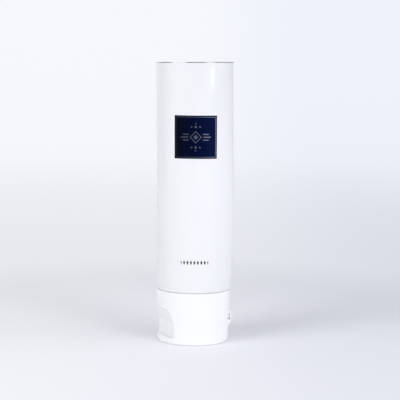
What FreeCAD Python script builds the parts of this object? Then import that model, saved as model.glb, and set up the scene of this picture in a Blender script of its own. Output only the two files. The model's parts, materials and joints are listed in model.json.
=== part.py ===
import FreeCAD, Part
import math
import os

# A squeeze tube for cream, standing upside down on its flip-top cap.
# Millimetres, +Z up. The origin is the centre of the lid's flat face, on which the tube stands.

# Sleeve: extruded tube, round at the shoulder and pressed slightly oval towards its open end.
OVERALL_HEIGHT = 151.0
TUBE_RADIUS = 20.0
SLEEVE_WALL = 0.5
SLEEVE_FOOT = 28.34
SLEEVE_CORNER = 0.85
SLEEVE_ROUND_TOP = 33.0
SLEEVE_HALF_WIDTHS = [
    (43.5, 20.45),
    (65.5, 20.9),
    (89.0, 20.85),
    (113.0, 20.8),
    (135.0, 20.75),
    (OVERALL_HEIGHT, 20.85),
]

# Head: moulded shoulder and threaded neck, welded into the foot of the sleeve.
SHOULDER_THICKNESS = 1.5
SHOULDER_DROP = 3.0
SHOULDER_ROUND = 1.0
WELD_LAND = 1.8
NECK_RADIUS = 8.0
NECK_BORE = 6.6
NECK_EDGE = 0.3
NECK_FILLET = 0.8
NECK_MOUTH_ROUND = 2.0
THREAD_DEPTH = 0.9
THREAD_PITCH = 3.0
THREAD_TURNS = 2.0
THREAD_BASE = 1.5
THREAD_CREST = 0.7
THREAD_START = 14.7
THREAD_BITE = 0.2

# Cap: one flip-top moulding, parted into body and lid at the seam.
CAP_TOP = 28.3
CAP_TOP_RADIUS = 20.1
CAP_TOP_EDGE = 0.25
CAP_FOOT_RADIUS = 19.3
CAP_WALL = 1.3
SEAM = 10.9
SEAM_GAP = 0.02
SEAM_EDGE = 0.03
LID_EDGE = 0.85
LID_PLATE = 1.4
LID_FILLET = 0.8
DECK_THICKNESS = 1.8
DECK_FILLET = 0.6
SOCKET_RADIUS = 9.1
SOCKET_WALL = 1.4
SOCKET_DRAFT = 0.2
SOCKET_FILLET = 0.4
SOCKET_EDGE = 0.3
SOCKET_TOP = 24.0
RIM_RADIUS = 17.9
RIM_WIDTH = 1.2
RIM_DROP = 1.2
RIM_CLEARANCE = 0.3

# Dispensing: orifice through the spout, closed by the plug on the lid.
ORIFICE = 2.5
ORIFICE_CHAMFER = 0.25
FUNNEL_RADIUS = 5.6
FUNNEL_FOOT = 11.1
SPOUT_TIP = 7.7
SPOUT_TIP_RADIUS = 3.6
SPOUT_ROOT_RADIUS = 4.9
SPOUT_EDGE = 0.5
PLUG_CLEARANCE = 0.08
PLUG_LENGTH = 1.9
PLUG_TAPER = 0.3
PLUG_NOSE = 0.5
PLUG_STEM = 3.3
PLUG_STEM_DROP = 0.3
PLUG_STEM_EDGE = 0.2
PLUG_ROOT_FILLET = 0.4

# Thumb recess: a flat cut across both halves of the cap, opposite the hinge.
HINGE_BEARING = 21.0
RECESS_BEARING = HINGE_BEARING + 180.0
LID_FLAT = 15.3
LEDGE_HEIGHT = 2.32
LEDGE_SLOPE = 30.8
LEDGE_FILLET = 1.2
BODY_FLAT = 15.25
BODY_FLAT_SLOPE = 18.2
RECESS_TOP = 18.9
RECESS_TOP_RISE = 0.4
RECESS_ROUND = 2.2
RECESS_EDGE = 0.8

# Hinge: a flat strap across the seam, held off the wall by a pad at each end, with a thinned crease.
STRAP_HALF_WIDTH = 5.2
STRAP_FACE = 20.5
STRAP_THICKNESS = 0.85
STRAP_TOP = 14.8
STRAP_TOP_EDGE = 0.5
STRAP_FOOT = 7.6
STRAP_BEND_HEIGHT = 9.8
STRAP_BEND_RADIUS = 1.5
UPPER_PAD_FOOT = 13.9
LOWER_PAD_TOP = 10.3
STRAP_PAD_FILLET = 0.25
CREASE_DEPTH = 0.6
CREASE_HALF_HEIGHT = 0.45
CREASE_ROUND = 0.2

# Cutting bodies reach this far out from the axis, and this far past a face that they open.
OUTSIDE = 30.0
PAST_FACE = 1.0
UP = FreeCAD.Vector(0, 0, 1)
ORIGIN = FreeCAD.Vector(0, 0, 0)

os.makedirs("parts", exist_ok=True)


def cap_radius(height):
    """Outer radius of the cap at a height; its wall leans outwards from the foot to the top."""
    return CAP_FOOT_RADIUS + (CAP_TOP_RADIUS - CAP_FOOT_RADIUS) * height / CAP_TOP


def at_bearing(reach, height, bearing, across=0.0):
    """Point at a reach from the axis along a bearing, and across it, at a height."""
    turn = math.radians(bearing)
    east = reach * math.cos(turn) - across * math.sin(turn)
    north = reach * math.sin(turn) + across * math.cos(turn)
    return FreeCAD.Vector(east, north, height)


def outline(points, bearing=0.0, across=0.0):
    """Closed face in an upright plane. A point is (reach, height) or (reach, height, corner radius)."""
    corners = [at_bearing(p[0], p[1], bearing, across) for p in points]
    radii = [p[2] if len(p) > 2 else 0.0 for p in points]
    starts, ends, arcs = [], [], []
    for index, corner in enumerate(corners):
        back = (corners[index - 1] - corner).normalize()
        ahead = (corners[(index + 1) % len(corners)] - corner).normalize()
        if radii[index] == 0.0:
            starts.append(corner)
            ends.append(corner)
            arcs.append(None)
            continue
        half = back.getAngle(ahead) / 2
        inward = (back + ahead).normalize()
        reach = radii[index] / math.tan(half)
        crown = corner + inward * (radii[index] / math.sin(half) - radii[index])
        starts.append(corner + back * reach)
        ends.append(corner + ahead * reach)
        arcs.append(Part.Arc(starts[-1], crown, ends[-1]).toShape())
    edges = []
    for index in range(len(corners)):
        if arcs[index]:
            edges.append(arcs[index])
        following = (index + 1) % len(corners)
        if (starts[following] - ends[index]).Length > 1e-6:
            edges.append(Part.makeLine(ends[index], starts[following]))
    return Part.Face(Part.Wire(edges))


def turned(points):
    """Solid turned about the Z axis from a profile of (radius, height) points."""
    return outline(points).revolve(ORIGIN, UP, 360)


def prism(points, bearing, half_width=OUTSIDE):
    """Solid with a profile of (reach, height) points along a bearing, as wide as asked on each side."""
    sweep = at_bearing(0, 0, bearing, 2 * half_width)
    return outline(points, bearing, -half_width).extrude(sweep)


def rounded(shape, radius, chosen):
    """Shape with the edges that pass the chosen test rounded."""
    return shape.makeFillet(radius, [edge for edge in shape.Edges if chosen(edge)])


def thread(root, crest, start):
    """Helical ridge from a root radius to a crest radius, right-handed."""
    helix = Part.makeHelix(THREAD_PITCH, THREAD_PITCH * THREAD_TURNS, root)
    section = [
        FreeCAD.Vector(root, 0, -THREAD_BASE / 2),
        FreeCAD.Vector(crest, 0, -THREAD_CREST / 2),
        FreeCAD.Vector(crest, 0, THREAD_CREST / 2),
        FreeCAD.Vector(root, 0, THREAD_BASE / 2),
    ]
    ridge = Part.Wire(helix.Edges).makePipeShell([Part.makePolygon(section + section[:1])], True, True)
    ridge.translate(FreeCAD.Vector(0, 0, start))
    return ridge


def squeezed_radius(half_width):
    """Half depth of the oval whose girth matches the round tube."""
    return math.sqrt(2 * TUBE_RADIUS**2 - half_width**2)


def sleeve_core(inset):
    """Solid body of the sleeve above the stretch that the head keeps round, drawn in by an inset."""
    start = FreeCAD.Vector(0, 0, SLEEVE_ROUND_TOP)
    sections = [Part.Circle(start, UP, TUBE_RADIUS - inset).toShape()]
    for height, half_width in SLEEVE_HALF_WIDTHS:
        wide = half_width - inset
        deep = squeezed_radius(half_width) - inset
        oval = Part.Ellipse(ORIGIN, wide, deep).toShape()
        oval.translate(FreeCAD.Vector(0, 0, height))
        sections.append(oval)
    return Part.makeLoft([Part.Wire(section) for section in sections], True, False)


def tube_sleeve():
    """Thin sleeve, open at the top, turned in round the shoulder at its foot."""
    wall = sleeve_core(0.0).cut(sleeve_core(SLEEVE_WALL))
    inside = TUBE_RADIUS - SLEEVE_WALL
    lip = TUBE_RADIUS - SLEEVE_CORNER
    foot = turned([
        (lip, SLEEVE_FOOT),
        (TUBE_RADIUS, SLEEVE_FOOT, SLEEVE_CORNER),
        (TUBE_RADIUS, SLEEVE_ROUND_TOP),
        (inside, SLEEVE_ROUND_TOP),
        (inside, SLEEVE_FOOT + SLEEVE_WALL, SLEEVE_CORNER - SLEEVE_WALL),
        (lip, SLEEVE_FOOT + SLEEVE_WALL),
    ])
    return wall.fuse(foot).removeSplitter()


def tube_head():
    """Shoulder and neck, seated inside the sleeve's foot, with a thread for the cap."""
    land = TUBE_RADIUS - SLEEVE_WALL
    step = TUBE_RADIUS - SLEEVE_CORNER
    shoulder = CAP_TOP_RADIUS - CAP_WALL
    seat = SLEEVE_FOOT + SLEEVE_WALL
    neck_top = SLEEVE_FOOT - SHOULDER_DROP
    neck_end = SEAM + DECK_THICKNESS
    head = turned([
        (NECK_BORE, neck_end, NECK_EDGE),
        (NECK_RADIUS, neck_end, NECK_EDGE),
        (NECK_RADIUS, neck_top, NECK_FILLET),
        (shoulder, SLEEVE_FOOT),
        (step, SLEEVE_FOOT),
        (step, seat),
        (land, seat, SLEEVE_CORNER - SLEEVE_WALL),
        (land, seat + SLEEVE_CORNER + WELD_LAND),
        (land - SHOULDER_THICKNESS / 2, seat + SLEEVE_CORNER + WELD_LAND),
        (step - SHOULDER_THICKNESS / 2, SLEEVE_FOOT + SHOULDER_THICKNESS, SHOULDER_ROUND),
        (NECK_BORE, neck_top + SHOULDER_THICKNESS, NECK_MOUTH_ROUND),
    ])
    ridge = thread(NECK_RADIUS - THREAD_BITE, NECK_RADIUS + THREAD_DEPTH, THREAD_START)
    return head.fuse(ridge)


def cap_hollow():
    """Space inside the cap body: orifice, threaded socket and the ring round it."""
    deck = SEAM + DECK_THICKNESS
    socket_outside = SOCKET_RADIUS + SOCKET_WALL
    return turned([
        (0, SPOUT_TIP - PAST_FACE),
        (ORIFICE + ORIFICE_CHAMFER, SPOUT_TIP - PAST_FACE),
        (ORIFICE + ORIFICE_CHAMFER, SPOUT_TIP),
        (ORIFICE, SPOUT_TIP + ORIFICE_CHAMFER),
        (ORIFICE, FUNNEL_FOOT),
        (FUNNEL_RADIUS, deck),
        (SOCKET_RADIUS, deck),
        (SOCKET_RADIUS, SOCKET_TOP, SOCKET_EDGE),
        (socket_outside, SOCKET_TOP, SOCKET_EDGE),
        (socket_outside + SOCKET_DRAFT, deck, SOCKET_FILLET),
        (cap_radius(deck) - CAP_WALL, deck, DECK_FILLET),
        (CAP_TOP_RADIUS - CAP_WALL, CAP_TOP + PAST_FACE),
        (0, CAP_TOP + PAST_FACE),
    ])


def body_recess(offset):
    """Cut for the thumb in the cap body: a sloping flat under a rounded top, moved inwards by an offset."""
    lean = math.tan(math.radians(BODY_FLAT_SLOPE))
    flat = BODY_FLAT - offset / math.cos(math.radians(BODY_FLAT_SLOPE))
    foot = SPOUT_TIP
    top = RECESS_TOP + offset
    return prism([
        (flat - lean * (SEAM - foot), foot),
        (OUTSIDE, foot),
        (OUTSIDE, top + RECESS_TOP_RISE),
        (flat + lean * (top - SEAM), top, RECESS_ROUND),
    ], RECESS_BEARING)


def locating_rim():
    """Low ridge on the deck that the lid's mouth closes round."""
    ring = []
    foot = FreeCAD.Vector(0, 0, SEAM - RIM_DROP)
    for inset in (0.0, RIM_WIDTH):
        disc = Part.makeCylinder(RIM_RADIUS - inset, RIM_DROP + DECK_THICKNESS / 2, foot)
        behind = LID_FLAT - CAP_WALL - RIM_CLEARANCE - inset
        beyond = prism([(behind, 0), (OUTSIDE, 0), (OUTSIDE, CAP_TOP), (behind, CAP_TOP)], RECESS_BEARING)
        ring.append(disc.cut(beyond))
    return ring[0].cut(ring[1])


def cap_body():
    """Skirt, deck, spout and threaded socket of the cap."""
    seat = SEAM + SEAM_GAP / 2
    skirt = turned([
        (0, seat),
        (cap_radius(seat), seat),
        (CAP_TOP_RADIUS, CAP_TOP, CAP_TOP_EDGE),
        (0, CAP_TOP),
    ])
    skirt = rounded(skirt.cut(body_recess(0.0)), RECESS_EDGE, is_recess_edge)
    skirt = rounded(skirt, SEAM_EDGE, lambda edge: lies_level(edge, seat))
    spout = turned([
        (0, SPOUT_TIP),
        (SPOUT_TIP_RADIUS, SPOUT_TIP, SPOUT_EDGE),
        (SPOUT_ROOT_RADIUS, seat),
        (0, seat),
    ])
    hollow = cap_hollow().cut(body_recess(CAP_WALL))
    ridge_start = THREAD_START + THREAD_PITCH / 2
    ridge = thread(SOCKET_RADIUS + THREAD_BITE, SOCKET_RADIUS - THREAD_DEPTH, ridge_start)
    return skirt.fuse(spout).cut(hollow).fuse(locating_rim()).fuse(ridge).removeSplitter()


def is_recess_edge(edge):
    """True for the edges where the thumb recess meets the outer wall of the cap."""
    middle = edge.valueAt((edge.FirstParameter + edge.LastParameter) / 2)
    on_wall = abs(math.hypot(middle.x, middle.y) - cap_radius(middle.z)) < 0.02
    on_recess_side = middle.dot(at_bearing(1.0, 0, RECESS_BEARING)) > 0
    return on_wall and on_recess_side and edge.Curve.TypeId != "Part::GeomCircle"


def lies_level(edge, height):
    """True for an edge that lies flat at a height."""
    box = edge.BoundBox
    return abs(box.ZMin - height) < 1e-4 and abs(box.ZMax - height) < 1e-4


def lid_recess():
    """Cut for the thumb in the lid: an upright flat above a ledge that slopes up and outwards."""
    rise = math.tan(math.radians(LEDGE_SLOPE)) * (OUTSIDE - LID_FLAT)
    return prism([
        (LID_FLAT, LEDGE_HEIGHT, LEDGE_FILLET),
        (OUTSIDE, LEDGE_HEIGHT + rise),
        (OUTSIDE, LEDGE_HEIGHT + rise + SEAM),
        (LID_FLAT, LEDGE_HEIGHT + rise + SEAM),
    ], RECESS_BEARING)


def lid_hollow():
    """Space inside the lid, a ring round the plug."""
    plug = ORIFICE - PLUG_CLEARANCE
    plug_end = SPOUT_TIP + PLUG_LENGTH
    stem_end = SPOUT_TIP - PLUG_STEM_DROP
    return turned([
        (PLUG_STEM, LID_PLATE, PLUG_ROOT_FILLET),
        (cap_radius(LID_PLATE) - CAP_WALL, LID_PLATE, LID_FILLET),
        (cap_radius(SEAM) - CAP_WALL, SEAM + PAST_FACE),
        (0, SEAM + PAST_FACE),
        (0, plug_end),
        (plug - PLUG_TAPER, plug_end, PLUG_NOSE),
        (plug, SPOUT_TIP),
        (plug, stem_end),
        (PLUG_STEM, stem_end, PLUG_STEM_EDGE),
    ])


def cap_lid():
    """Lid that the tube stands on, with the plug that closes the orifice."""
    mouth = SEAM - SEAM_GAP / 2
    skirt = turned([
        (0, 0),
        (CAP_FOOT_RADIUS, 0, LID_EDGE),
        (cap_radius(mouth), mouth),
        (0, mouth),
    ])
    skirt = rounded(skirt.cut(lid_recess()), RECESS_EDGE, is_recess_edge)
    skirt = rounded(skirt, SEAM_EDGE, lambda edge: lies_level(edge, mouth))
    behind = LID_FLAT - CAP_WALL
    wall = prism([(behind, 0), (OUTSIDE, 0), (OUTSIDE, CAP_TOP), (behind, CAP_TOP)], RECESS_BEARING)
    return skirt.cut(lid_hollow().cut(wall))


def hinge_strap():
    """Strap that joins body and lid: two pads on the wall and a plate between them, creased at the seam."""
    inner = STRAP_FACE - STRAP_THICKNESS
    root = CAP_FOOT_RADIUS * math.cos(math.asin(STRAP_HALF_WIDTH / CAP_FOOT_RADIUS)) - PAST_FACE
    plate = prism([
        (root, STRAP_TOP),
        (STRAP_FACE, STRAP_TOP, STRAP_TOP_EDGE),
        (STRAP_FACE, STRAP_BEND_HEIGHT, STRAP_BEND_RADIUS),
        (cap_radius(STRAP_FOOT), STRAP_FOOT),
        (root, STRAP_FOOT),
        (root, LOWER_PAD_TOP),
        (inner, LOWER_PAD_TOP, STRAP_PAD_FILLET),
        (inner, UPPER_PAD_FOOT, STRAP_PAD_FILLET),
        (root, UPPER_PAD_FOOT),
    ], HINGE_BEARING, STRAP_HALF_WIDTH)
    crease = prism([
        (inner - PAST_FACE, SEAM + CREASE_HALF_HEIGHT),
        (inner, SEAM + CREASE_HALF_HEIGHT),
        (inner + CREASE_DEPTH, SEAM, CREASE_ROUND),
        (inner, SEAM - CREASE_HALF_HEIGHT),
        (inner - PAST_FACE, SEAM - CREASE_HALF_HEIGHT),
    ], HINGE_BEARING)
    wall = turned([(0, 0), (cap_radius(0), 0), (cap_radius(CAP_TOP), CAP_TOP), (0, CAP_TOP)])
    return plate.cut(crease).cut(wall)


for part in (tube_sleeve, tube_head, cap_body, cap_lid, hinge_strap):
    part().exportStep("parts/" + part.__name__ + ".step")
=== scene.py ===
import bpy
import json
import math
from mathutils import Matrix, Vector, noise


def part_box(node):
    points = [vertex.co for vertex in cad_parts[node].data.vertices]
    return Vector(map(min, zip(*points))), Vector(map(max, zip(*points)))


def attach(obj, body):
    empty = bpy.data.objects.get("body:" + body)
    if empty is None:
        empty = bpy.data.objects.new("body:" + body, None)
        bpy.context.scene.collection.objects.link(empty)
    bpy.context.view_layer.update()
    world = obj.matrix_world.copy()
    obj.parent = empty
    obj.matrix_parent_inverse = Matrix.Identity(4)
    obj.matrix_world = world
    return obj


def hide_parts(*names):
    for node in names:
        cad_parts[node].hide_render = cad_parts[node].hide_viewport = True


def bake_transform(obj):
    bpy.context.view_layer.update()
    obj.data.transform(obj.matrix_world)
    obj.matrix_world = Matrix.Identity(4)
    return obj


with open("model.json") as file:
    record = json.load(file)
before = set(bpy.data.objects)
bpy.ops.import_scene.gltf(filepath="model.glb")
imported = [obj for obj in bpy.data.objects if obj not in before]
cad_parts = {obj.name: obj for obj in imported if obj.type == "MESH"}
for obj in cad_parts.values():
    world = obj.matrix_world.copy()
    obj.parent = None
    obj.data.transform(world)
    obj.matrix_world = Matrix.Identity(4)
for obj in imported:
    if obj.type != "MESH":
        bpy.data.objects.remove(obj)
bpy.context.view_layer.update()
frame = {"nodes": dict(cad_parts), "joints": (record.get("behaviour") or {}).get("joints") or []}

# Sleeve. An extruded polyethylene tube with a thin wall, trimmed square at its open end and turned
# in round the shoulder at its foot. It is round at the foot and goes slightly oval upwards, and it
# bows a little, as a long thin tube does. The panel and the bead row are printed on it.
MM = 0.001
TUBE_RADIUS = 20.0 * MM
SLEEVE_WALL = 0.5 * MM
FOOT_CORNER = 0.85 * MM
CORNER_BEVEL = FOOT_CORNER * 0.98
TRIMMED_EDGE = 0.07 * MM
TOUCH = 0.01 * MM
sleeve_low, sleeve_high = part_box("tube_sleeve")
FOOT = sleeve_low.z
RIM = sleeve_high.z
# Height above the floor and half the width there, in millimetres.
HALF_WIDTHS = [(33.0, 20.1), (43.5, 20.45), (54.5, 20.75), (65.5, 20.9), (77.0, 20.9),
               (89.0, 20.85), (101.0, 20.8), (113.0, 20.8), (124.0, 20.75), (135.0, 20.75),
               (143.0, 20.8), (RIM / MM, 20.85)]
# The bow leans to the right low down and a little to the left at the rim.
BOW = 4.5 * MM
BOW_AT_FOOT = 0.06
BOW_BACK_AT_RIM = 0.09
# The waves reach their full height a sixth of the way up. The rim's slope dies away fast below it.
WAVE = 0.09 * MM
WAVE_LENGTH = 22 * MM
WAVE_ONSET = 6
RIM_SLOPE = 0.0115
RIM_SLOPE_POWER = 6


def start_piece():
    """Deselect everything, so that the next operators act on their own piece alone."""
    if bpy.context.mode != "OBJECT":
        bpy.ops.object.mode_set(mode="OBJECT")
    bpy.ops.object.select_all(action="DESELECT")


def choose(piece, kind, test):
    """Select the vertices, edges or faces whose corners all pass a test, and go into edit mode."""
    bpy.ops.object.mode_set(mode="EDIT")
    bpy.ops.mesh.select_mode(type=kind)
    bpy.ops.mesh.select_all(action="DESELECT")
    bpy.ops.object.mode_set(mode="OBJECT")
    points = piece.data.vertices
    if kind == "VERT":
        for point in points:
            point.select = test(point.co)
    else:
        for item in piece.data.edges if kind == "EDGE" else piece.data.polygons:
            item.select = all(test(points[index].co) for index in item.vertices)
    bpy.ops.object.mode_set(mode="EDIT")


def add_modifier(piece, kind, **settings):
    """Add a modifier with its settings."""
    modifier = piece.modifiers.new(kind.lower(), kind)
    for setting, value in settings.items():
        setattr(modifier, setting, value)


def apply_modifiers(piece):
    """Apply a piece's modifiers in their order."""
    for modifier in list(piece.modifiers):
        bpy.ops.object.modifier_apply(modifier=modifier.name)


def half_depth(half_width):
    """Half the depth of the oval sleeve where it has this half width: its girth stays the same."""
    return math.sqrt(2 * TUBE_RADIUS**2 - half_width**2)


# The lip starts as a ring at the foot, is widened to the wall, and the wall goes up level by level.
start_piece()
bpy.ops.mesh.primitive_circle_add(
    vertices=64, radius=TUBE_RADIUS - FOOT_CORNER, location=(0, 0, FOOT))
sleeve = bpy.context.object
sleeve.name = "sleeve"
bpy.ops.object.transform_apply(location=True)
bpy.ops.object.mode_set(mode="EDIT")
bpy.ops.mesh.select_all(action="SELECT")
bpy.ops.mesh.extrude_region_move()
lip_to_wall = TUBE_RADIUS / (TUBE_RADIUS - FOOT_CORNER)
bpy.ops.transform.resize(value=(lip_to_wall, lip_to_wall, 1), center_override=(0, 0, FOOT))
level, half_width = FOOT, TUBE_RADIUS
for next_level, next_half_width in HALF_WIDTHS:
    next_level, next_half_width = next_level * MM, next_half_width * MM
    bpy.ops.mesh.extrude_region_move(TRANSFORM_OT_translate={"value": (0, 0, next_level - level)})
    widen = next_half_width / half_width
    deepen = half_depth(next_half_width) / half_depth(half_width)
    bpy.ops.transform.resize(value=(widen, deepen, 1), center_override=(0, 0, next_level))
    level, half_width = next_level, next_half_width
bpy.ops.object.mode_set(mode="OBJECT")
choose(sleeve, "EDGE",
       lambda p: abs(p.z - FOOT) < TOUCH and p.xy.length > TUBE_RADIUS - SLEEVE_WALL)
bpy.ops.mesh.bevel(offset=CORNER_BEVEL, segments=5, affect="EDGES", clamp_overlap=False)
bpy.ops.mesh.select_all(action="SELECT")
bpy.ops.mesh.normals_make_consistent(inside=False)
bpy.ops.object.mode_set(mode="OBJECT")
add_modifier(sleeve, "SUBSURF", levels=1, render_levels=1)
apply_modifiers(sleeve)

# Shallow waves, the bow, and the slightly sloping trim of the open end.
for point in sleeve.data.vertices:
    along = (point.co.z - FOOT) / (RIM - FOOT)
    wave = noise.noise(point.co / WAVE_LENGTH) * WAVE * min(1, WAVE_ONSET * along)
    point.co += Vector((point.co.x, point.co.y, 0)).normalized() * wave
    point.co.x += BOW * ((along + BOW_AT_FOOT) * (1 - along) ** 2 - BOW_BACK_AT_RIM * along ** 4)
    point.co.z += RIM_SLOPE * point.co.x * max(0, along) ** RIM_SLOPE_POWER
add_modifier(sleeve, "SOLIDIFY", thickness=SLEEVE_WALL, offset=-1)
add_modifier(sleeve, "BEVEL", width=TRIMMED_EDGE, segments=2,
             limit_method="ANGLE", angle_limit=math.radians(50))
add_modifier(sleeve, "SUBSURF", levels=1, render_levels=1)
apply_modifiers(sleeve)
bpy.ops.object.shade_smooth()

# The bake map unrolls the sleeve from its back, with more room for the printed front than for the
# back, and lays the inner wall out in a band of its own above the outer one.
FRONT_ROOM = 1.4
MAP_MIDDLE = 0.5
MAP_HALF_WIDTH = 0.485
OUTER_BAND = (0.01, 0.86)
INNER_BAND = (0.89, 0.99)
bake_map = sleeve.data.uv_layers.new(name="OFBake")
for face in sleeve.data.polygons:
    middle = Vector(face.center)
    turn = math.atan2(middle.x, -middle.y)
    looks_out = face.normal.x * middle.x + face.normal.y * middle.y > 0
    looks_down = face.normal.z < -0.5
    band_foot, band_top = OUTER_BAND if looks_out or looks_down else INNER_BAND
    for loop in face.loop_indices:
        corner = sleeve.data.vertices[sleeve.data.loops[loop].vertex_index].co
        angle = math.atan2(corner.x, -corner.y)
        angle += 2 * math.pi * round((turn - angle) / (2 * math.pi))
        share = angle / math.pi
        from_middle = share * (1 + FRONT_ROOM) / (1 + FRONT_ROOM * abs(share))
        up = (corner.z - FOOT) / (RIM - FOOT)
        bake_map.data[loop].uv = (MAP_MIDDLE + MAP_HALF_WIDTH * from_middle,
                                  band_foot + (band_top - band_foot) * up)
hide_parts("tube_sleeve")
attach(sleeve, "tube")


class Link:
    """An output socket. Operators on it add Math nodes to its tree."""

    def __init__(self, socket):
        self.socket = socket

    def node(self, kind, settings, inputs, output=0):
        """Add a node: its settings first, then the values or links of its sockets."""
        tree = self.socket.id_data
        made = tree.nodes.new(kind)
        for name, value in settings.items():
            setattr(made, name, value)
        for name, value in inputs.items():
            if isinstance(value, Link):
                tree.links.new(value.socket, made.inputs[name])
            else:
                made.inputs[name].default_value = value
        return Link(made.outputs[output])

    def math(self, operation, *others):
        """Add a Math node on this value and the others."""
        values = dict(enumerate((self, *others)))
        return self.node("ShaderNodeMath", {"operation": operation}, values)

    def __add__(self, other):
        return self.math("ADD", other)

    def __sub__(self, other):
        return self.math("SUBTRACT", other)

    def __rsub__(self, other):
        return self * -1 + other

    def __mul__(self, other):
        return self.math("MULTIPLY", other)

    def __abs__(self):
        return self.math("ABSOLUTE")

    __radd__ = __add__
    __rmul__ = __mul__

    def axis(self, index):
        """One of the vector's three numbers."""
        return self.node("ShaderNodeSeparateXYZ", {}, {"Vector": self}, index)

    def below(self, edge, softness):
        """1 where the value is under the edge and 0 over it, with a soft step between."""
        ends = {"Value": self, "From Min": edge - softness, "From Max": edge + softness,
                "To Min": 1.0, "To Max": 0.0}
        return self.node("ShaderNodeMapRange", {"interpolation_type": "SMOOTHSTEP"}, ends)

    def paint(self, under, over):
        """Colour that goes from one to the other as this mask goes from 0 to 1."""
        return self.node("ShaderNodeMix", {"data_type": "RGBA"}, {0: self, 6: under, 7: over}, 2)

    def noise(self, size, detail=2.0, stretch=(1, 1, 1)):
        """Noise whose features are about this size; a stretch lengthens them along an axis."""
        scale = tuple(1 / part for part in stretch)
        placed = self.node("ShaderNodeMapping", {}, {"Vector": self, "Scale": scale})
        sockets = {"Vector": placed, "Scale": 1 / size, "Detail": detail}
        return self.node("ShaderNodeTexNoise", {}, sockets)

    def bump(self, height):
        """Normal of a surface that this value raises by up to a height."""
        relief = {"Height": self, "Distance": height, "Strength": 1.0}
        return self.node("ShaderNodeBump", {}, relief)


def set_sockets(shader, constants):
    """Write a shader's constant values, with an underscore for each space in a socket's name."""
    for socket, value in constants.items():
        shader.inputs[socket.replace("_", " ")].default_value = value


def finish(name, **constants):
    """New material: the material, its Principled shader and a Link on Object coordinates."""
    material = bpy.data.materials.new(name)
    material.use_nodes = True
    shader = material.node_tree.nodes["Principled BSDF"]
    set_sockets(shader, constants)
    place = material.node_tree.nodes.new("ShaderNodeTexCoord").outputs["Object"]
    return material, shader, Link(place)


def feed(shader, **links):
    """Connect what varies to the shader's sockets."""
    for socket, link in links.items():
        shader.id_data.links.new(link.socket, shader.inputs[socket.replace("_", " ")])


def second_finish(material, first, mask, **constants):
    """Second shader that covers the first one where the mask is 1."""
    tree = material.node_tree
    second = tree.nodes.new("ShaderNodeBsdfPrincipled")
    set_sockets(second, constants)
    cover = tree.nodes.new("ShaderNodeMixShader")
    tree.links.new(mask.socket, cover.inputs[0])
    tree.links.new(first.outputs[0], cover.inputs[1])
    tree.links.new(second.outputs[0], cover.inputs[2])
    tree.links.new(cover.outputs[0], tree.nodes["Material Output"].inputs[0])
    return second


# Finish of the sleeve: satin white polyethylene under a thin gloss lacquer, with faint lines along
# it from the extrusion die. Its trimmed end is duller, and a thin band along it is painted with
# dark strokes of shade and bright strokes of highlight round it. The print is a navy panel with
# dark silver foil on it, and a row of small grey beads below.
SLEEVE_WHITE = (0.840, 0.846, 0.860, 1)
SLEEVE_WARM = (0.848, 0.851, 0.860, 1)
SLEEVE_ROUGHNESS = 0.34
DIE_LINE_WIDTH = 1.1 * MM
DIE_LINE_STRETCH = (1, 1, 40)
MOTTLE_SIZE = 16 * MM
PORE_SIZE = 0.9 * MM
PORE_SHARE = 0.6
SLEEVE_RELIEF = 0.004 * MM
# Painted shade and painted highlight: the dark and bright strokes painted along the rim.
RIM_PAINTED_SHADE = (0.07, 0.07, 0.09, 1)
RIM_PAINTED_HIGHLIGHT = (0.82, 0.83, 0.85, 1)
RIM_BAND_HEIGHT = 0.35 * MM
RIM_BAND_EDGE = 0.05 * MM
RIM_SHADE_STROKE_PERIOD = 16.4 * MM
RIM_SHADE_STROKE_SHIFT = 0.2 * MM
RIM_SHADE_STROKE_DRIFT = 40
RIM_SHADE_STROKE_LEVEL = -0.45
RIM_SHADE_STROKE_SOFTNESS = 0.5

sleeve_finish, white, place = finish("sleeve_white",
                                     Specular_IOR_Level=0.4, Coat_Weight=0.35, Coat_Roughness=0.03)

# The print's places are measured along the sleeve's surface from the middle of its front.
PANEL_HALF_WIDTH = 12.1 * MM
PANEL_HALF_HEIGHT = 11.4 * MM
PANEL_MIDDLE = 111.75 * MM
PANEL_TURN = 0.5 * MM
PRINT_EDGE = 0.05 * MM
across = place.axis(0).math("ARCTAN2", place.axis(1) * -1) * TUBE_RADIUS - PANEL_TURN
height = place.axis(2)
panel_height = height - PANEL_MIDDLE


def inside(inset):
    """Mask of the printed panel, drawn in by an inset."""
    wide = abs(across).below(PANEL_HALF_WIDTH - inset, PRINT_EDGE)
    return wide * abs(panel_height).below(PANEL_HALF_HEIGHT - inset, PRINT_EDGE)


def bars(near, far, lift, half_thickness):
    """Mask of level bars on both sides of the panel's middle, as far above it as below it."""
    long = abs(abs(across) - (near + far) / 2).below((far - near) / 2, PRINT_EDGE)
    return long * abs(abs(panel_height) - lift).below(half_thickness, PRINT_EDGE)


def dots(aside, lift, radius):
    """Mask of round dots on both sides of the panel's middle, as far above it as below it."""
    from_side = abs(across) - aside
    from_lift = abs(panel_height) - lift
    return (from_side * from_side + from_lift * from_lift).math("SQRT").below(radius, PRINT_EDGE)


# The ornament: a lozenge with a ring round it, bars beside it, and dots over and under it.
LOZENGE = 1.3 * MM
RING_INSIDE = 2.75 * MM
RING_OUTSIDE = 3.3 * MM
lozenge = abs(across) + abs(panel_height)
ornament = lozenge.below(LOZENGE, PRINT_EDGE)
ornament = ornament + lozenge.below(RING_OUTSIDE, PRINT_EDGE)
ornament = ornament - lozenge.below(RING_INSIDE, PRINT_EDGE)
ornament = ornament + bars(near=4.2 * MM, far=8.4 * MM, lift=0.0, half_thickness=0.3 * MM)
ornament = ornament + bars(near=3.9 * MM, far=7.2 * MM, lift=1.5 * MM, half_thickness=0.28 * MM)
ornament = ornament + dots(aside=0.0, lift=5.4 * MM, radius=0.62 * MM)
ornament = ornament + dots(aside=2.3 * MM, lift=5.4 * MM, radius=0.42 * MM)
ornament = ornament + dots(aside=0.0, lift=7.1 * MM, radius=0.36 * MM)

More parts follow.
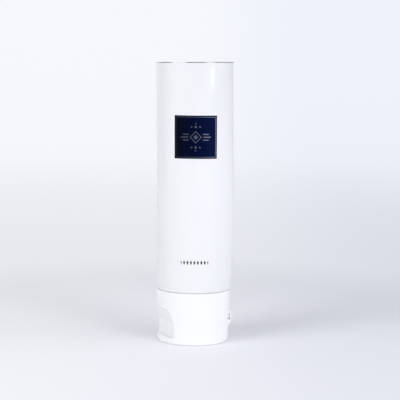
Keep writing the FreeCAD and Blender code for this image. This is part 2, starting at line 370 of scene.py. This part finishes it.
FRAME_INSET = 0.7 * MM
FRAME_LINE = 0.28 * MM
foil = (inside(FRAME_INSET) - inside(FRAME_INSET + FRAME_LINE) + ornament).math("MINIMUM", 1.0)

BEAD_ROW_MIDDLE = 45.1 * MM
BEAD_ROW_HALF_WIDTH = 7.6 * MM
BEAD_PITCH = 1.9 * MM
BEAD_HALF_WIDTH = 0.62 * MM
BEAD_SLANT = 0.5
bead = across.math("PINGPONG", BEAD_PITCH / 2) + abs(height - BEAD_ROW_MIDDLE) * BEAD_SLANT
beads = bead.below(BEAD_HALF_WIDTH, PRINT_EDGE) * abs(across).below(BEAD_ROW_HALF_WIDTH, PRINT_EDGE)
front_half = place.axis(1).below(0, PRINT_EDGE)
printed = (inside(0) + beads) * front_half

die_lines = place.noise(DIE_LINE_WIDTH, 2.0, DIE_LINE_STRETCH)
mottle = place.noise(MOTTLE_SIZE, 3.0)
# A band along the rim is duller, and its colour is painted shade in dark strokes and painted
# highlight in bright strokes between them.
dull_cut_and_painted_rim_light = 1 - (height - place.axis(0) * RIM_SLOPE).below(RIM - RIM_BAND_HEIGHT, RIM_BAND_EDGE)
painted_light_ripple = ((place.axis(0) + RIM_SHADE_STROKE_SHIFT) * (2 * math.pi / RIM_SHADE_STROKE_PERIOD)).math("COSINE")
painted_light_ripple = painted_light_ripple + place.axis(0) * RIM_SHADE_STROKE_DRIFT
painted_shade_stroke = 1 - painted_light_ripple.below(RIM_SHADE_STROKE_LEVEL, RIM_SHADE_STROKE_SOFTNESS)
plain = mottle.paint(SLEEVE_WHITE, SLEEVE_WARM)
feed(white,
     Base_Color=dull_cut_and_painted_rim_light.paint(plain, painted_shade_stroke.paint(RIM_PAINTED_HIGHLIGHT, RIM_PAINTED_SHADE)),
     Roughness=mottle * 0.10 + die_lines * 0.06 + SLEEVE_ROUGHNESS + dull_cut_and_painted_rim_light * 0.3,
     Normal=(die_lines + place.noise(PORE_SIZE) * PORE_SHARE).bump(SLEEVE_RELIEF))

# Both colours of the panel grow lighter from its left side to its right, as painted shade at the
# left and painted sheen at the right.
NAVY_PAINTED_SHADE = (0.0002, 0.0010, 0.0050, 1)
NAVY_PAINTED_SHEEN = (0.0003, 0.0045, 0.040, 1)
FOIL_PAINTED_SHADE = (0.035, 0.040, 0.060, 1)
FOIL_PAINTED_SHEEN = (0.16, 0.17, 0.24, 1)
FOIL_METAL = 0.85
BEAD_INK = (0.085, 0.085, 0.115, 1)
PRINT_ROUGHNESS = 0.34
PRINT_RELIEF = 0.01 * MM
ink = second_finish(sleeve_finish, white, printed, Specular_IOR_Level=0.03)
# Painted shade at the panel's left and painted sheen at its right, over the navy ink and silver
# foil.
painted_sheen_to_right = across * (0.5 / PANEL_HALF_WIDTH) + 0.5
navy = painted_sheen_to_right.paint(NAVY_PAINTED_SHADE, NAVY_PAINTED_SHEEN)
silver = painted_sheen_to_right.paint(FOIL_PAINTED_SHADE, FOIL_PAINTED_SHEEN)
feed(ink,
     Base_Color=beads.paint(foil.paint(navy, silver), BEAD_INK),
     Metallic=foil * FOIL_METAL,
     Roughness=PRINT_ROUGHNESS - foil * 0.06 + mottle * 0.1,
     Normal=(foil + die_lines * 0.3).bump(PRINT_RELIEF))
sleeve.data.materials.append(sleeve_finish)

# Head. Moulded in polyethylene: the shoulder closes the sleeve's foot, and the threaded neck takes
# the cap. It is seen only down the open end, matt from its mould, and the CAD node is kept.
HEAD_COOL = (0.80, 0.82, 0.85, 1)
HEAD_WHITE = (0.84, 0.855, 0.88, 1)
HEAD_CLOUD = 9 * MM
HEAD_GRAIN = 0.5 * MM
HEAD_ROUGHNESS = 0.48
HEAD_RELIEF = 0.01 * MM
head_finish, moulded, place = finish("head_white", Specular_IOR_Level=0.4)
grain = place.noise(HEAD_GRAIN, 3.0)
feed(moulded,
     Base_Color=place.noise(HEAD_CLOUD).paint(HEAD_COOL, HEAD_WHITE),
     Roughness=grain * 0.15 + HEAD_ROUGHNESS,
     Normal=grain.bump(HEAD_RELIEF))
head = frame["nodes"]["tube_head"]
head.data.materials.clear()
head.data.materials.append(head_finish)

# Cap body and lid. One polypropylene moulding, whiter and glossier than the sleeve, with a faint
# flow pattern from the gate and fine mould texture. Both CAD nodes are kept.
CAP_WHITE = (0.925, 0.926, 0.929, 1)
CAP_FLOW = (0.912, 0.914, 0.920, 1)
FLOW_SIZE = 11 * MM
FLOW_STRETCH = (1, 1, 2.5)
MOULD_GRAIN = 0.35 * MM
CAP_ROUGHNESS = 0.27
CAP_RELIEF = 0.003 * MM
cap_finish, glossy, place = finish("cap_white", Specular_IOR_Level=0.5)
flow = place.noise(FLOW_SIZE, 3.0, FLOW_STRETCH)
texture = place.noise(MOULD_GRAIN, 2.0)
feed(glossy,
     Base_Color=flow.paint(CAP_WHITE, CAP_FLOW),
     Roughness=flow * 0.08 + texture * 0.05 + CAP_ROUGHNESS,
     Normal=texture.bump(CAP_RELIEF))
for part in ("cap_body", "cap_lid"):
    cap_part = frame["nodes"][part]
    cap_part.data.materials.clear()
    cap_part.data.materials.append(cap_finish)

# Hinge strap. Part of the cap's moulding: a flat strap with a pad at each end that roots it in the
# walls of body and lid, and a crease across its inner face at the seam, where it folds.
strap_low, strap_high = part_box("hinge_strap")
hinge = frame["joints"][0]
SEAM = hinge["pos_m"][2]
HINGE_BEARING = math.atan2(hinge["pos_m"][1], hinge["pos_m"][0])
STRAP_FACE = 20.5 * MM
STRAP_INNER = 19.65 * MM
PAD_ROOT = 18.9 * MM
STRAP_HALF_WIDTH = 5.2 * MM
UPPER_PAD_FOOT = 13.9 * MM
STRAP_MIDDLE = (UPPER_PAD_FOOT + SEAM) / 2 + 0.3 * MM
LOWER_PAD_TOP = 10.3 * MM
STRAP_BEND = 9.6 * MM
CREASE_HALF_HEIGHT = 0.45 * MM
CREASE_DEPTH = 0.6 * MM
CREASE_STEPS = 6
WALL_AT_FOOT = 19.5 * MM
STRAP_EDGE = 0.11 * MM
WELD = 0.002 * MM


def on_inner(point):
    """Whether a point is on the strap's inner face."""
    return abs(point.x - STRAP_INNER) < TOUCH


# The strap is drawn at the right, cut across at its levels, and turned to the hinge's bearing last.
start_piece()
strap_height = strap_high.z - strap_low.z
bpy.ops.mesh.primitive_cube_add(
    size=1,
    location=((STRAP_FACE + STRAP_INNER) / 2, 0, strap_low.z + strap_height / 2),
    scale=(STRAP_FACE - STRAP_INNER, 2 * STRAP_HALF_WIDTH, strap_height))
strap = bpy.context.object
strap.name = "strap"
bpy.ops.object.transform_apply(location=True, scale=True)
bpy.ops.object.mode_set(mode="EDIT")
crease_cuts = [SEAM + CREASE_HALF_HEIGHT * step / CREASE_STEPS
               for step in range(-CREASE_STEPS, CREASE_STEPS + 1)]
for cut in [UPPER_PAD_FOOT, STRAP_MIDDLE, LOWER_PAD_TOP, STRAP_BEND] + crease_cuts:
    bpy.ops.mesh.select_all(action="SELECT")
    bpy.ops.mesh.bisect(plane_co=(0, 0, cut), plane_no=(0, 0, 1))
bpy.ops.object.mode_set(mode="OBJECT")
for pad_low, pad_high in ((UPPER_PAD_FOOT, strap_high.z), (strap_low.z, LOWER_PAD_TOP)):
    choose(strap, "FACE", lambda p: on_inner(p) and pad_low - TOUCH < p.z < pad_high + TOUCH)
    bpy.ops.mesh.extrude_region_move(
        TRANSFORM_OT_translate={"value": (PAD_ROOT - STRAP_INNER, 0, 0)})
    bpy.ops.object.mode_set(mode="OBJECT")
choose(strap, "VERT", lambda p: p.z < strap_low.z + TOUCH and p.x > STRAP_INNER - TOUCH)
bpy.ops.transform.resize(value=(0.01, 1, 1), center_override=(WALL_AT_FOOT, 0, strap_low.z))
bpy.ops.object.mode_set(mode="OBJECT")
for point in strap.data.vertices:
    from_seam = abs(point.co.z - SEAM)
    if on_inner(point.co) and from_seam < CREASE_HALF_HEIGHT:
        depth_share = 0.5 + 0.5 * math.cos(math.pi * from_seam / CREASE_HALF_HEIGHT)
        point.co.x += CREASE_DEPTH * depth_share
bpy.ops.object.mode_set(mode="EDIT")
bpy.ops.mesh.select_all(action="SELECT")
bpy.ops.mesh.remove_doubles(threshold=WELD)
bpy.ops.mesh.normals_make_consistent(inside=False)
bpy.ops.transform.rotate(value=-HINGE_BEARING, orient_axis="Z", center_override=(0, 0, 0))
bpy.ops.object.mode_set(mode="OBJECT")
add_modifier(strap, "BEVEL", width=STRAP_EDGE, segments=3,
             limit_method="ANGLE", angle_limit=math.radians(40))
apply_modifiers(strap)
bpy.ops.object.shade_smooth_by_angle(angle=math.radians(30))
strap.data.materials.append(cap_finish)
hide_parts("hinge_strap")
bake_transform(strap)

# Floor and backdrop. One sheet of pale paper, a round dish that turns up into a wall. Near the tube
# it takes the lamps' light and the tube's shadows, and the paper is painted lighter at the left and
# darker at the right, which is painted light and shade. Further out, for the camera and in
# reflections, it glows with a painted haze instead: painted light, darker where it starts and
# towards the right as painted shade.
FLOOR_RADIUS = 1.7
FLOOR_TURN = 0.45
WALL_HEIGHT = 0.75
# The paper's two colours are painted light at the left and painted shade at the right.
PAPER_PAINTED_LIGHT = (0.965, 0.965, 0.99, 1)
PAPER_PAINTED_SHADE = (0.83, 0.84, 0.905, 1)
PAPER_CHANGE = 0.02
PAPER_CHANGE_HALF_WIDTH = 0.13
PAPER_END = 0.15
HAZE_START = 0.30
# The haze's colours are painted light, with painted shade where it starts and towards the right.
HAZE_NEAR_PAINTED_SHADE = (0.785, 0.80, 0.845, 1)
HAZE_NEAR_RIGHT_PAINTED_SHADE = (0.67, 0.70, 0.775, 1)
HAZE_FAR_LEFT = (0.918, 0.935, 0.970, 1)
HAZE_FAR_RIGHT_PAINTED_SHADE = (0.855, 0.885, 0.955, 1)
HAZE_CHANGE = 0.09
HAZE_CHANGE_HALF_WIDTH = 0.11
HAZE_FAR = FLOOR_RADIUS


def at_edge(point):
    """Whether a point is as far out as the paper's edge."""
    return point.xy.length > FLOOR_RADIUS - 1 * MM


start_piece()
bpy.ops.mesh.primitive_circle_add(vertices=96, radius=FLOOR_RADIUS, fill_type="NGON")
floor = bpy.context.object
floor.name = "floor"
choose(floor, "EDGE", at_edge)
bpy.ops.mesh.extrude_edges_move(TRANSFORM_OT_translate={"value": (0, 0, WALL_HEIGHT)})
bpy.ops.object.mode_set(mode="OBJECT")
choose(floor, "EDGE", lambda p: at_edge(p) and p.z < 1 * MM)
bpy.ops.mesh.bevel(offset=FLOOR_TURN, segments=16, affect="EDGES", clamp_overlap=False)
bpy.ops.mesh.select_all(action="SELECT")
bpy.ops.mesh.normals_make_consistent(inside=True)
bpy.ops.object.mode_set(mode="OBJECT")
bpy.ops.object.shade_smooth_by_angle(angle=math.radians(30))
paper_finish, paper, place = finish("paper", Roughness=0.9, Specular_IOR_Level=0.0)
out = place.node("ShaderNodeVectorMath", {"operation": "LENGTH"}, {0: place}, "Value")
# Painted shade: the haze grows darker towards the right.
haze_painted_shade_rightward = 1 - place.axis(0).below(HAZE_CHANGE, HAZE_CHANGE_HALF_WIDTH)
# Painted light and shade: the paper is lighter at the left and darker towards the right.
paper_painted_shade_rightward = 1 - place.axis(0).below(PAPER_CHANGE, PAPER_CHANGE_HALF_WIDTH)
feed(paper, Base_Color=paper_painted_shade_rightward.paint(PAPER_PAINTED_LIGHT, PAPER_PAINTED_SHADE))
seen = sum(place.node("ShaderNodeLightPath", {}, {}, "Is %s Ray" % kind)
           for kind in ("Camera", "Glossy", "Transmission")).math("MINIMUM", 1.0)
beyond = 1 - out.below((PAPER_END + HAZE_START) / 2, (HAZE_START - PAPER_END) / 2)
# The haze glows for camera rays and reflections, as painted light and shade.
haze = second_finish(paper_finish, paper, beyond * seen,
                     Base_Color=(0, 0, 0, 1), Specular_IOR_Level=0.0, Emission_Strength=1.0)
far = 1 - out.below(HAZE_FAR / 2, HAZE_FAR / 2)
# Painted shade: the haze is darker where it starts than far out.
haze_near_painted_shade = haze_painted_shade_rightward.paint(HAZE_NEAR_PAINTED_SHADE, HAZE_NEAR_RIGHT_PAINTED_SHADE)
haze_far = haze_painted_shade_rightward.paint(HAZE_FAR_LEFT, HAZE_FAR_RIGHT_PAINTED_SHADE)
feed(haze, Emission_Color=far.paint(haze_near_painted_shade, haze_far))
floor.data.materials.append(paper_finish)


# Lamps: white softboxes on stands, which face the middle of the tube. A bearing is counted from the
# front to the right. The gleam is a small strip as high as the rim, and draws a streak below it.
def softbox(name, bearing, distance, height, size, power):
    """Area lamp at a bearing and height that faces the tube."""
    lamp = bpy.data.lights.new(name, "AREA")
    lamp.shape = "RECTANGLE"
    lamp.size, lamp.size_y = size
    lamp.energy = power
    holder = bpy.data.objects.new(name, lamp)
    bpy.context.scene.collection.objects.link(holder)
    turn = math.radians(bearing)
    holder.location = (distance * math.sin(turn), -distance * math.cos(turn), height)
    aim = Vector((0, 0, RIM / 2)) - holder.location
    holder.rotation_euler = aim.to_track_quat("-Z", "Y").to_euler()
    holder.visible_camera = False


softbox("key", bearing=-50, distance=1.03, height=0.58, size=(0.6, 0.6), power=5.1)
softbox("right", bearing=38, distance=1.1, height=0.45, size=(0.4, 0.4), power=3.0)
softbox("side", bearing=72, distance=0.9, height=0.35, size=(0.8, 0.4), power=2.25)
softbox("top", bearing=0, distance=0.05, height=1.3, size=(1.2, 1.2), power=4.4)
softbox("gleam", bearing=49, distance=0.9, height=0.155, size=(0.23, 0.026), power=0.15)

# Flags: black cards beyond the view. One at the left and one behind at the right give the pale tube
# its darker edges. The top one hangs between the right lamp and the tube and shades the open end.
CARD_THICKNESS = 4 * MM
CARD_EDGE = 1 * MM
CARD_FIBRE = 2 * MM
CARD_BLACK = (0.10, 0.10, 0.105, 1)
CARD_WORN = (0.13, 0.13, 0.135, 1)
card_finish, black, place = finish("black_card", Roughness=0.9, Specular_IOR_Level=0.1)
feed(black, Base_Color=place.noise(CARD_FIBRE).paint(CARD_BLACK, CARD_WORN))


def flag(name, bearing, distance, foot, width, height):
    """Upright black card that faces the tube, at a bearing counted as the lamps' are."""
    start_piece()
    bpy.ops.mesh.primitive_cube_add(
        size=1, location=(0, -distance, foot + height / 2), scale=(width, CARD_THICKNESS, height))
    card = bpy.context.object
    card.name = name
    bpy.ops.object.transform_apply(location=True, scale=True)
    bpy.ops.object.mode_set(mode="EDIT")
    bpy.ops.mesh.select_all(action="SELECT")
    bpy.ops.transform.rotate(
        value=-math.radians(bearing), orient_axis="Z", center_override=(0, 0, 0))
    bpy.ops.object.mode_set(mode="OBJECT")
    add_modifier(card, "BEVEL", width=CARD_EDGE, segments=2)
    apply_modifiers(card)
    card.data.materials.append(card_finish)
    card.visible_camera = False
    card.visible_diffuse = False
    return card


flag("flag_left", bearing=-104, distance=0.6, foot=0.02, width=0.42, height=0.36)
flag("flag_right", bearing=140, distance=0.6, foot=0.02, width=0.13, height=0.36)
flag_top = flag("flag_top", bearing=38, distance=0.3, foot=0.242, width=0.26, height=0.15)
flag_top.visible_glossy = False

# Room. The even and slightly cool light that its white walls throw back. It comes from all round
# and fills in what the lamps leave dark.
ROOM_COLOUR = (0.93, 0.95, 1.0, 1)
ROOM_STRENGTH = 0.33
world = bpy.data.worlds.new("room")
bpy.context.scene.world = world
world.use_nodes = True
world.node_tree.nodes["Background"].inputs[0].default_value = ROOM_COLOUR
world.node_tree.nodes["Background"].inputs[1].default_value = ROOM_STRENGTH

# Camera: level with the tube's open end, in front of the printed side, looking a little down.
# Its angles are in degrees.
CAMERA_DISTANCE = 0.6906
CAMERA_LENS = 115.13
CAMERA_PAN = -0.264
CAMERA_DIP = 6.15
CAMERA_ROLL = 0.65
camera_data = bpy.data.cameras.new("camera")
camera_data.lens = CAMERA_LENS
camera = bpy.data.objects.new("camera", camera_data)
bpy.context.scene.collection.objects.link(camera)
pan = Matrix.Rotation(math.radians(CAMERA_PAN), 4, "Z")
tilt = Matrix.Rotation(math.radians(90 - CAMERA_DIP), 4, "X")
roll = Matrix.Rotation(math.radians(CAMERA_ROLL), 4, "Z")
camera.matrix_world = Matrix.Translation((0, -CAMERA_DISTANCE, RIM)) @ (pan @ tilt) @ roll
bpy.context.scene.camera = camera
bpy.context.scene.view_settings.view_transform = "Standard"
